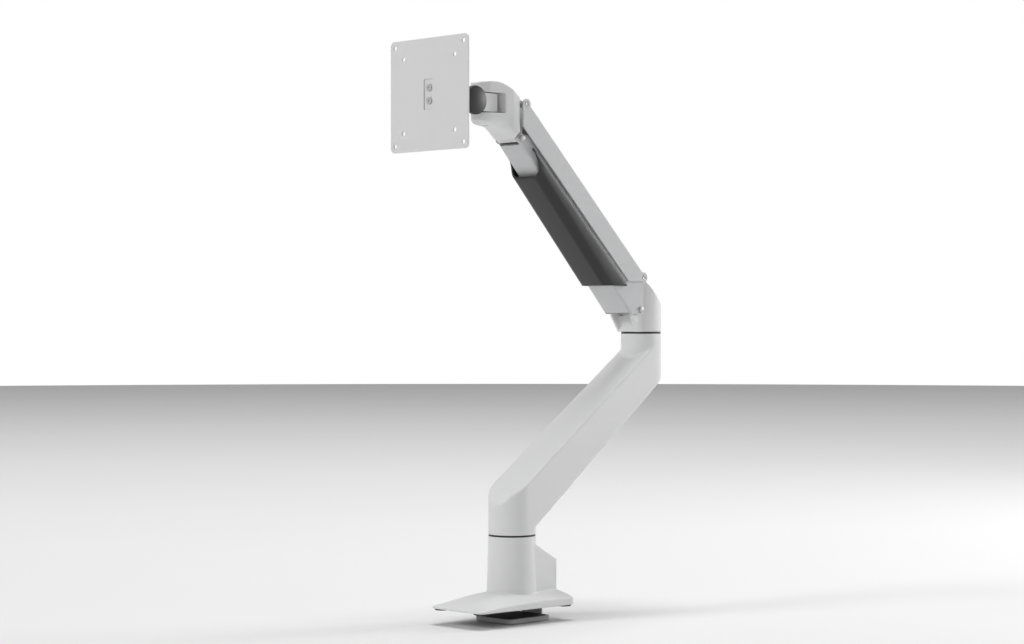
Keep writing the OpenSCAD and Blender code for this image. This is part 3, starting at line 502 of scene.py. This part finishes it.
def makeBase():
    s, p = baseSet, pocketSet
    top, over = corners("base_casting")[1].z, s["over"]
    column = post(s["columnFoot"], swivelRadius - 0.15, over, top + over)
    fin = prism([(0, 5), (s["finBack"] + over, 5), (s["finBack"] + over, s["finHigh"] - over * s["finSlope"]),
                 (0, s["finHigh"] + s["finBack"] * s["finSlope"])], -s["finRoot"], s["finRoot"])
    for side in (-1, 1):
        cut(fin, (side * s["finHalf"], s["finBack"], 0), (side, 0.066, 0))
    cut(fin, (0, s["finBack"], 0), (0, 1, 0.02))
    solid = cast(join(basePad(), column, fin), s["voxel"], s["rounds"], s["keep"])
    cut(solid, (0, 0, top), (0, 0, 1))
    cut(solid, (0, 0, s["under"]), (0, 0, -1))
    # the pocket of the jaw's leg, the screw's well and its seat
    screwY = middle("clamp_screw").y
    leg = block(-p["legHalf"], p["legHalf"], p["legFront"], p["legBack"], -2, p["legTop"])
    well = block(-p["wellHalf"], p["wellHalf"], p["wellFront"], p["wellBack"], -2, p["wellTop"])
    hole = post(p["hole"], p["hole"], 20, 80, 0, screwY)
    mouth = post(p["mouth"], p["mouth"], p["seat"], 80, 0, screwY)
    solid = booleanCut(solid, leg, well, hole, mouth)
    finishPiece(solid, "baseBody", "base", "whitePaint", "base_casting", sharp=45, flat=False)
    ring = placed(turned(baseRingSet, 96), (0, 0, corners("base_washer")[0].z))
    finishPiece(ring, "baseRing", "base", "washerPlastic", "base_washer")


feetSet = {"radius": 7.5, "inset": 8}  # the front pair stands nearer the middle
ribSet = {"count": 14, "pitch": 5, "width": 1.6, "height": 0.4, "side": 4, "start": 6}


def makeFeet():
    # round feet with a shallow groove, and the ribbed pad of the clamp
    r = feetSet["radius"]
    lo, hi = corners("foot_pads")
    h = hi.z
    parts = []
    for sx in (-1, 1):
        for x, y in ((hi.x - r - feetSet["inset"], lo.y + r), (hi.x - r, hi.y - r)):
            foot = turned([(0, 0), (r - 2.4, 0), (r - 2.0, 0.25), (r - 1.4, 0.25), (r - 1.0, 0), (r - 0.3, 0),
                           (r, 0.3), (r, h), (0, h)], 40)
            parts.append(placed(foot, (sx * x, y, 0)))
    finishPiece(join(*parts), "rubberFeet", "base", "padRubber", "foot_pads")
    lo, hi = corners("grip_pad")
    pad = nodeCopy("grip_pad")
    softenEdges(pad, 0.3)
    k = ribSet
    ribs = []
    for i in range(k["count"]):
        y = lo.y + k["start"] + k["pitch"] * i
        ribs.append(block(lo.x + k["side"], hi.x - k["side"], y, y + k["width"], 0.0, k["height"]))
    for rib in ribs:
        softenEdges(rib, 0.15, 1)
    finishPiece(join(pad, *ribs), "gripPad", "base", "padRubber", "grip_pad")


lowerSet = {"topZ": 129.2, "topSlope": 35.3, "underZ": 74.2, "underSlope": 36.6, "over": 6, "voxel": 0.85,
            "rounds": 14, "keep": 0.4}
browCuts = ((-17.5, 117.2, 58), (-21.6, 112.6, 70), (-23.8, 107, 82))  # y, z and lean of each
elbowRingSet = [(10.1, -0.05), (21.5, -0.05), (21.7, 0.15), (21.7, 1.85), (21.5, 2.05), (10.1, 2.05),
                (10.1, -0.05)]


def makeLowerArm():
    s = lowerSet
    a, b = math.radians(s["topSlope"]), math.radians(s["underSlope"])
    topNormal = (0, -math.sin(a), math.cos(a))
    underNormal = (0, math.sin(b), -math.cos(b))
    foot = post(swivelRadius, swivelRadius, armFoot - s["over"], 150, steps=128)
    cut(foot, (0, 0, s["topZ"]), topNormal)
    # the rounded brow over the front of the foot
    for y, z, lean in browCuts:
        n = math.radians(lean)
        cut(foot, (0, y, z), (0, -math.sin(n), math.cos(n)))
    beam = prism([(0, 20), (elbowAxisY, 20), (elbowAxisY, 400), (0, 400)], -60, 60)
    for side in (-1, 1):
        cut(beam, (side * swivelRadius, 0, 0), (side, (swivelRadius - elbowRadius) / elbowAxisY, 0))
    cut(beam, (0, 0, s["topZ"]), topNormal)
    cut(beam, (0, 0, s["underZ"]), underNormal)
    elbow = post(elbowRadius, elbowRadius, 180, armTop + s["over"], 0, elbowAxisY, 128)
    cut(elbow, (0, 0, s["underZ"]), underNormal)
    solid = cast(join(foot, beam, elbow), s["voxel"], s["rounds"], s["keep"])
    cut(solid, (0, 0, armFoot), (0, 0, -1))
    cut(solid, (0, 0, armTop), (0, 0, 1))
    finishPiece(solid, "lowerArm", "lower", "whitePaint", "lower_arm", "arm_tray", sharp=50, flat=False)
    tray = nodeCopy("arm_tray")
    cut(tray, (0, 0, s["underZ"] + 1.0), tuple(-v for v in underNormal))
    bmesh.ops.translate(tray, verts=tray.verts, vec=(0, 0.3, -0.4))
    softenEdges(tray, 0.4)
    finishPiece(tray, "armTray", "lower", "whitePaint")
    ring = placed(turned(elbowRingSet, 96), (0, elbowAxisY, armTop))
    finishPiece(ring, "elbowRing", "lower", "washerPlastic", "elbow_washer")


knuckleSet = {"voxel": 0.5, "rounds": 5, "elbowKeep": 0.4, "headKeep": 0.45}
slantSet = [(188, 338.7), (260, 264.1), (260, 420), (188, 420)]  # above the slope from the top pivot to the back


def makeElbow():
    k = knuckleSet
    copy = booleanCut(nodeCopy("elbow_knuckle"), prism(slantSet, -40, 40))
    solid = cast(copy, k["voxel"], k["rounds"], k["elbowKeep"])
    finishPiece(solid, "elbowKnuckle", "elbow", "whitePaint", "elbow_knuckle", sharp=50, flat=False)


headSet = {"half": 19.3, "fork": 14.0, "widening": 24.0, "round": 8.5, "rearGap": 4.9, "foot": -4.6,
           "climb": 15.6, "brow": 3.2, "browFrom": -32.0}


def headHalf(y):
    # half the head's width, seen from above
    t = min(max((y - panAxis.y) / headSet["widening"], 0), 1)
    return headSet["fork"] + (headSet["half"] - headSet["fork"]) * t


def headUnder(y):
    # height of the head's underside
    rear = headLow.y - headSet["rearGap"]
    t = min(max((rear - y) / (rear - panAxis.y - 5.5), 0), 1)
    return headLow.z + headSet["foot"] + headSet["climb"] * (1 - (1 - t) ** 1.8)


def makeHead():
    k = knuckleSet
    solid = cast(nodeCopy("head_knuckle"), k["voxel"], k["rounds"], k["headKeep"])
    r = headSet["round"]
    rear = headLow.y - headSet["rearGap"]
    for v in solid.verts:
        y = v.co.y
        if y > rear + 0.3:
            continue
        # the brow runs on high towards the upper pivot
        back = min(max((y - headSet["browFrom"]) / (rear - headSet["browFrom"]), 0), 1)
        high = min(max((v.co.z - headTop.z + 7) / 10, 0), 1)
        v.co.z += headSet["brow"] * back * back * high
        # the lower edges are rolled round
        reach = math.hypot(v.co.x, min(y - panAxis.y, 0))
        u = (reach - headHalf(y) + r) / r
        w = (r - v.co.z + headUnder(y)) / r
        if 0 < u and 0 < w and reach > 1:
            u, w = min(u, 1), min(w, 1)
            pulled = headHalf(y) - r + r * u * math.sqrt(1 - w * w / 2)
            v.co.x *= pulled / reach
            if y < panAxis.y:
                v.co.y = panAxis.y + (y - panAxis.y) * pulled / reach
            v.co.z = headUnder(y) + r - r * w * math.sqrt(1 - u * u / 2)
    finishPiece(solid, "headKnuckle", "head", "whitePaint", "head_knuckle", sharp=50, flat=False)


def domedPin(radius, height):
    profile = [(0, -2.5), (radius, -2.5), (radius, height * 0.3)]
    for i in range(1, 8):
        a = math.radians(90 * i / 8)
        profile.append((radius * (1 - 0.55 * (1 - math.cos(a))), height * (0.3 + 0.7 * math.sin(a))))
    return turned(profile + [(0, height)], 48)


pinSet = {"shaft": 2.98, "dome": 3.6, "domeHigh": 2.0, "earProud": 0.55}
collarSet = [(2.9, -0.4), (4.2, -0.4), (4.3, -0.1), (4.1, 0.2), (3.5, 0.2), (2.9, -0.4)]


def makePins():
    p = pinSet
    for name, body, node, at, proud in (("elbowLowPin", "elbow", "elbow_low_pin", elbowLow, 0),
                                        ("headLowPin", "head", "head_low_pin", headLow, 1.5)):
        reach = corners(node)[1].x + proud
        ends = []
        for side in (-1, 1):
            for end, back in ((domedPin(p["dome"], p["domeHigh"]), 1.9), (turned(collarSet, 48), 1.7)):
                ends.append(placed(end, (side * (reach - back), at.y, at.z), (side, 0, 0)))
        shaft = turned([(0, -reach + 2), (p["shaft"], -reach + 2), (p["shaft"], reach - 2), (0, reach - 2)], 48)
        placed(shaft, (0, at.y, at.z), (1, 0, 0))
        finishPiece(join(shaft, *ends), name, body, "pinSteel", node)
    for name, body, node, at in (("elbowTopPin", "elbow", "elbow_top_pin", elbowTop),
                                 ("headTopPin", "head", "head_top_pin", headTop)):
        reach = corners("top_link")[1].x + p["earProud"]
        end = [(0, reach - 0.7), (1.1, reach - 0.7), (1.3, reach - 0.3), (2.2, reach), (2.6, reach - 0.25),
               (2.6, reach - 0.7), (p["shaft"], reach - 0.7)]
        profile = [(r, -h) for r, h in end] + [(r, h) for r, h in reversed(end)]
        finishPiece(placed(turned(profile, 48), (0, at.y, at.z), (1, 0, 0)), name, body, "pinSteel", node)


linkSet = {"roof": 2.1, "drop": 20.3, "ear": 5.5, "plate": 2.0, "tail": 4.6, "bend": 2.4, "roofStart": 22,
           "roofStop": -15}


def arc(centre, radius, start, end, steps=20):
    # angles in degrees from +y towards +z
    turns = [math.radians(start + (end - start) * i / steps) for i in range(steps + 1)]
    return [(centre.y + radius * math.cos(a), centre.z + radius * math.sin(a)) for a in turns]


def linkOutline():
    s = linkSet
    lift = math.degrees(slope)
    half = math.sqrt(s["ear"] ** 2 - s["roof"] ** 2)
    rise = math.degrees(math.atan2(s["roof"], half))
    low = -math.degrees(math.asin(s["tail"] / s["ear"]))
    points = arc(elbowTop, s["ear"], low, 180 - lift - rise)
    points += arc(headTop, s["ear"], rise - lift, 180)
    nose = headTop.y - s["ear"]
    p = along(headTop, 0, -s["drop"])
    points.append((nose, p.z + (p.y - nose) * math.tan(slope)))
    q = (s["tail"] - s["drop"] * math.cos(slope)) / math.sin(slope)
    p = along(elbowTop, q, -s["drop"])
    points.append((p.y, p.z))
    return points


def makeTopLink():
    s = linkSet
    wide = corners("top_link")[1].x
    parts = []
    for side in (-1, 1):
        plate = prism(linkOutline(), *sorted((side * wide, side * (wide - s["plate"]))))
        softenEdges(plate, 0.45, 3, 30)
        parts.append(plate)
    # the roof, with its bends
    section = []
    for side in (-1, 1):
        turns = [math.radians(90 * i / 6) for i in range(7)]
        bend = [(side * (wide - 0.02 - s["bend"] * (1 - math.sin(a))), s["roof"] - s["bend"] * (1 - math.cos(a)))
                for a in turns]
        section += bend[::-1] if side < 0 else bend
    inner = wide - s["plate"] + 0.1
    section += [(inner, s["roof"] - s["bend"]), (inner - 0.4, s["roof"] - s["plate"]),
                (0.4 - inner, s["roof"] - s["plate"]), (-inner, s["roof"] - s["bend"])]
    start, stop = s["roofStart"] - linkLen, s["roofStop"]
    roof = bmesh.new()
    face = roof.faces.new([roof.verts.new(along(elbowTop, start, n, x)) for x, n in section])
    side = bmesh.ops.extrude_face_region(roof, geom=[face])
    move = along(elbowTop, stop, 0) - along(elbowTop, start, 0)
    bmesh.ops.translate(roof, verts=[v for v in side["geom"] if isinstance(v, bmesh.types.BMVert)], vec=move)
    parts.append(roof)
    finishPiece(join(*parts), "topLink", "link", "greyPaint", "top_link", sharp=28)


channelSet = {"plate": 2.0, "width": 19.2, "headWidth": 16.0, "drop": 14.6, "headDrop": 5.4, "bend": 2.4,
              "headBend": 3.0, "taperFrom": 12, "rim": 26, "room": 17.6, "behindPivot": 4.4, "belowPivot": 4.8}
# the plate's side view: how far along the arm and square to it, from the lower elbow pivot
channelSide = [(12, -30), (12, 17), (-18.4, 23.8), (-34, 16), (-44, 13), (4 - linkLen, 9), (-linkLen, 5),
               (-linkLen - 4.4, 2), (-linkLen - 4.4, -3), (-linkLen - 2.4, -30)]
floorCut = {"size": (27.2, 33, 15), "past": 12, "below": 9}


def channelSection(q, inset):
    # half of the U, from the rim down to the middle of the floor
    s = channelSet
    t = min(max((-q - s["taperFrom"]) / (linkLen - s["taperFrom"]), 0), 1)
    half = s["width"] + (s["headWidth"] - s["width"]) * t - inset
    drop = s["drop"] + (s["headDrop"] - s["drop"]) * t - inset
    bend = max(s["bend"] + (s["headBend"] - s["bend"]) * t - inset, 0.6)
    points = [(half, s["rim"])]
    for i in range(7):
        a = math.radians(90 * i / 6)
        points.append((half - bend * (1 - math.cos(a)), bend - drop - bend * math.sin(a)))
    return points


def makeChannel():
    s, f = channelSet, floorCut
    start = s["taperFrom"]
    stations = [14, 0, -start] + [-start - (linkLen - start) * i / 24 for i in range(1, 25)] + [-linkLen - 6]
    bm = trough(stations, channelSection, s["plate"])
    outline = [(along(elbowLow, q, n).y, along(elbowLow, q, n).z) for q, n in channelSide]
    bm = combine(bm, "INTERSECT", prism(outline, -30, 30))
    cut(bm, (0, elbowLow.y + s["behindPivot"], 0), (0, 1, 0))
    cut(bm, (0, 0, elbowLow.z - s["belowPivot"]), (0, 0, -1))
    # the floor stops short of the head
    tool = bmesh.new()
    bmesh.ops.create_cube(tool, size=1)
    bmesh.ops.scale(tool, vec=f["size"], verts=tool.verts)
    bmesh.ops.rotate(tool, verts=tool.verts, cent=(0, 0, 0), matrix=Matrix.Rotation(-slope, 3, "X"))
    bmesh.ops.translate(tool, verts=tool.verts, vec=along(elbowLow, -linkLen - f["past"], -f["below"]))
    # and short of the elbow's cheeks
    room = placed(post(s["room"], s["room"], -17.3, 17.3), (0, elbowLow.y, elbowLow.z), (1, 0, 0))
    bm = booleanCut(bm, tool, room)
    bmesh.ops.dissolve_limit(bm, angle_limit=math.radians(0.4), verts=bm.verts, edges=bm.edges)
    softenEdges(bm, 0.35, 2, 40)
    finishPiece(bm, "armChannel", "upper", "greyPaint", "channel", sharp=30)


coverSet = {"half": 21.4, "wall": 2.0, "low": 22.2, "high": 12.8, "lip": 2.4, "corner": 9.0, "start": 22,
            "end": 236, "mouth": 25, "mouthDrop": 24.6, "nose": 1.6, "slopeFrom": 30, "stations": 26}


def coverSection(q, inset):
    s = coverSet
    t = (-q - s["slopeFrom"]) / (s["end"] - s["slopeFrom"])
    low = s["low"] + (s["high"] - s["low"]) * t - inset
    half = s["half"] - inset
    corner = s["corner"] - inset
    edge = 0.0 if inset else 0.55
    points = [(half - edge, s["lip"]), (half - edge, s["lip"] - 1.6), (half, s["lip"] - 2.2)]
    for i in range(13):
        a = math.radians(90 * i / 12)
        points.append((half - corner * (1 - math.cos(a)), corner - low - corner * math.sin(a)))
    return points


def makeCover():
    s = coverSet
    step = (s["end"] - s["start"]) / s["stations"]
    bm = trough([-s["start"] - step * k for k in range(s["stations"] + 1)], coverSection, s["wall"])
    low = corners("cable_cover")[0].z
    cut(bm, (0, 0, low), (0, 0, -1))
    tip = max(v.co.y for v in bm.verts if v.co.z < low + 0.1)
    for lean, inset in ((20, 0.5), (45, 1.3), (70, 0.5)):  # its rounded rear corner
        a = math.radians(lean)
        cut(bm, (0, tip - inset, low + s["nose"] * (1 - math.sin(a))), (0, math.cos(a), -math.sin(a)))
    centre = along(elbowLow, 4 - s["end"], -s["mouthDrop"])
    mouth = placed(post(s["mouth"], s["mouth"], -40, 40, steps=128), centre, (1, 0, 0))
    bm = booleanCut(bm, mouth)
    softenEdges(bm, 0.5, 3, 40)
    finishPiece(bm, "cableCover", "upper", "coverPlastic", "cable_cover", sharp=40, flat=False)


def makePlate():
    bm = nodeCopy("monitor_plate")
    softenEdges(bm, 0.35, 2, 40)
    finishPiece(bm, "monitorPlate", "plate", "platePaint", "monitor_plate")


knobSet = {"radius": 14.65, "dome": 2.0}


def makeKnob():
    lo, hi = corners("tilt_knob")
    r, dome, depth = knobSet["radius"], knobSet["dome"], hi.x - lo.x
    rim = depth - dome
    profile = [(4.1, 0), (r - 1.6, 0), (r - 0.5, 0.5), (r, 1.5), (r, rim - 1.3), (r - 0.35, rim - 0.5),
               (r - 1.1, rim)]
    for i in range(1, 11):
        a = i / 10
        profile.append(((r - 1.1) * (1 - a), rim + dome * (1 - (1 - a) ** 2)))
    profile += [(0, 5.4), (4.1, 5.4), (4.1, 0)]
    finishPiece(placed(turned(profile, 96), (lo.x, axle.y, axle.z), (1, 0, 0)), "tiltKnob", "knob", "knobPlastic",
                "tilt_knob", sharp=40)


# nodes whose shape is right keep it, with their edges eased: finish, edge width, segments
easedNodes = {
    "tilt_bracket": ("whitePaint", 0.5, 3), "pan_block": ("whitePaint", 0.6, 3), "tilt_axle": ("steel", 0.5, 2),
    "axle_nut": ("steel", 0.3, 2), "tilt_washers": ("washerPlastic", 0.15, 2),
    "pan_washers": ("washerPlastic", 0.15, 2),
    "pan_bolt": ("steel", 0.35, 2), "plate_spindle": ("steel", 0.4, 2), "spindle_nut": ("steel", 0.35, 2),
    "plate_screws": ("pinSteel", 0.15, 2), "anchor_block": ("steel", 0.4, 2), "tension_screw": ("steel", 0.25, 2),
    "clamp_jaw": ("jawPaint", 0.6, 3), "jaw_pad": ("padRubber", 0.4, 2), "jaw_nut": ("steel", 0.4, 2),
    "spring_pin": ("steel", 0.3, 2), "gas_cylinder": ("springBlack", 0.6, 3), "gas_rod": ("pinSteel", 0.3, 2),
    "base_post": ("steel", 0.5, 2), "elbow_post": ("steel", 0.5, 2), "base_bush": ("washerPlastic", 0.3, 2),
    "elbow_bush": ("washerPlastic", 0.3, 2), "base_grub_screw": ("steel", 0.2, 2),
    "elbow_grub_screw": ("steel", 0.2, 2),
}


def upright(edge):
    a, b = edge.verts
    return abs(a.co.x - b.co.x) + abs(a.co.y - b.co.y) < 0.01 and a.co.z < 0 and b.co.z < 0


def makeEased():
    for node, (finish, width, segments) in easedNodes.items():
        bm = nodeCopy(node)
        if node == "clamp_jaw":
            softenEdges(bm, 1.6, 4, 80, upright)
        softenEdges(bm, width, segments, 40)
        words = node.split("_")
        name = words[0] + "".join(word.title() for word in words[1:])
        finishPiece(bm, name, frame["nodes"][node]["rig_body"], finish, node, outward=False)


def makeClampScrew():
    # a real thread below the head
    lo, hi = corners("clamp_screw")
    centre = middle("clamp_screw")
    pitch, r = 2.0, 4.0
    turns = int((40 - lo.z) / pitch)
    profile = [(0, lo.z), (r - 1.0, lo.z), (r - 0.6, lo.z + 0.5)]
    for i in range(turns):
        z = lo.z + 1 + i * pitch
        if z > 38:
            break
        profile += [(r - 0.75, z), (r, z + 0.85), (r, z + 1.15), (r - 0.75, z + 1.95)]
    profile += [(r, 40.1), (r + 1.7, 40.1), (r + 2.0, 40.5), (r + 2.0, hi.z - 0.5), (r + 1.6, hi.z), (2.5, hi.z),
                (2.4, hi.z - 2.4), (0, hi.z - 2.4)]
    finishPiece(placed(turned(profile, 48), (centre.x, centre.y, 0)), "clampScrew", "screw", "steel", "clamp_screw",
                sharp=25)


materials = makeMaterials()
print("materials made")
makeCamera()
makeLamps()
makeWorld()
makeFloor()
print("studio made")
makeBase()
makeFeet()
print("base made")
makeLowerArm()
print("lower arm made")
makeElbow()
makeHead()
makePins()
print("knuckles made")
makeTopLink()
makeChannel()
makeCover()
print("upper arm made")
makePlate()
makeKnob()
makeEased()
makeClampScrew()
print("head and small parts made")
